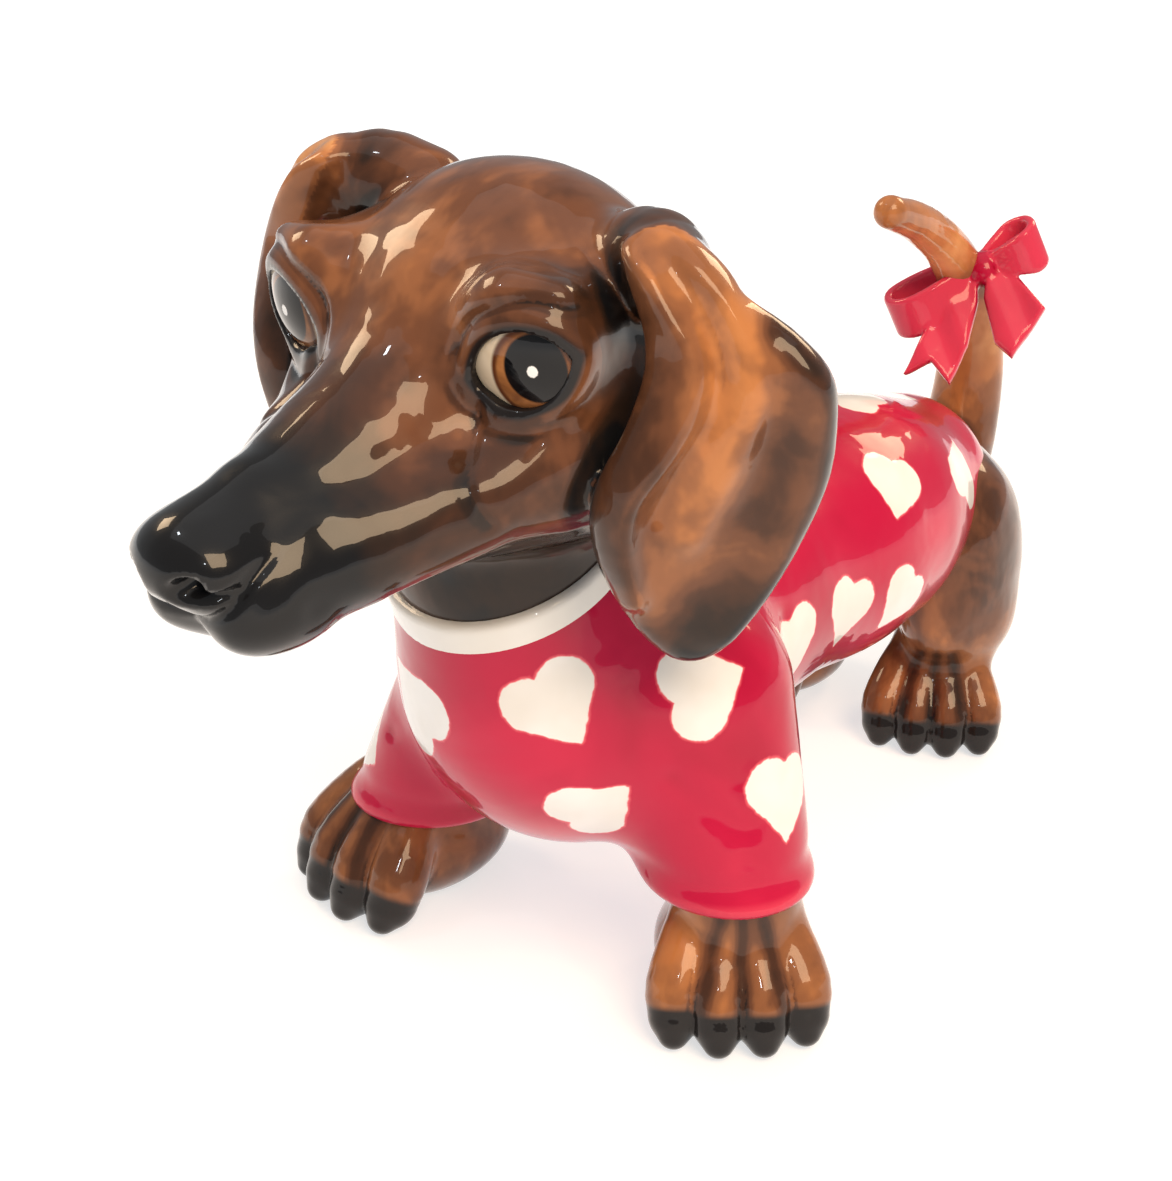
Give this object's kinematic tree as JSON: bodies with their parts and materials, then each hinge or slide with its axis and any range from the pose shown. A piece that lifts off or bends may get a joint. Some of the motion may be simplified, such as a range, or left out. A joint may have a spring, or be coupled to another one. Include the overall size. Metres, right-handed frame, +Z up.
{
  "type": "ceramic dog figurine",
  "caption": "Glazed ceramic dachshund standing on its paws, in a red jumper with cream hearts and a cream neckband, with a ribbon bow on its raised tail.",
  "frame": {"origin": "middle of the object's box on the surface it stands on", "axes": "+Z up, -Y the way the body faces, +X the dog's own left side; the long axis of the body lies along Y"},
  "size_m": [0.1132, 0.2414, 0.1463],
  "materials": {
    "brown_glaze": "high-gloss glaze, brushed dark and reddish brown",
    "ear_glaze": "high-gloss glaze, chestnut fading to orange brown",
    "tail_glaze": "high-gloss glaze, golden brown",
    "red_glaze": "high-gloss crimson glaze with cream hearts painted on the jumper",
    "cream_glaze": "high-gloss cream glaze",
    "eye_glaze": "high-gloss painted eye"
  },
  "bodies": {
    "root": {"bow_knot": "red_glaze", "bow_left_end": "red_glaze", "bow_left_loop": "red_glaze", "bow_right_end": "red_glaze", "bow_right_loop": "red_glaze", "collar_band": "cream_glaze", "front_left_paw": "brown_glaze", "front_left_sleeve": "red_glaze", "front_right_paw": "brown_glaze", "front_right_sleeve": "red_glaze", "head_shell": "brown_glaze", "hindquarters": "brown_glaze", "left_ear": "ear_glaze", "left_eye": "eye_glaze", "rear_left_paw": "brown_glaze", "rear_right_paw": "brown_glaze", "right_ear": "ear_glaze", "right_eye": "eye_glaze", "tail": "tail_glaze", "torso_shell": "red_glaze"}
  },
  "joints": []
}
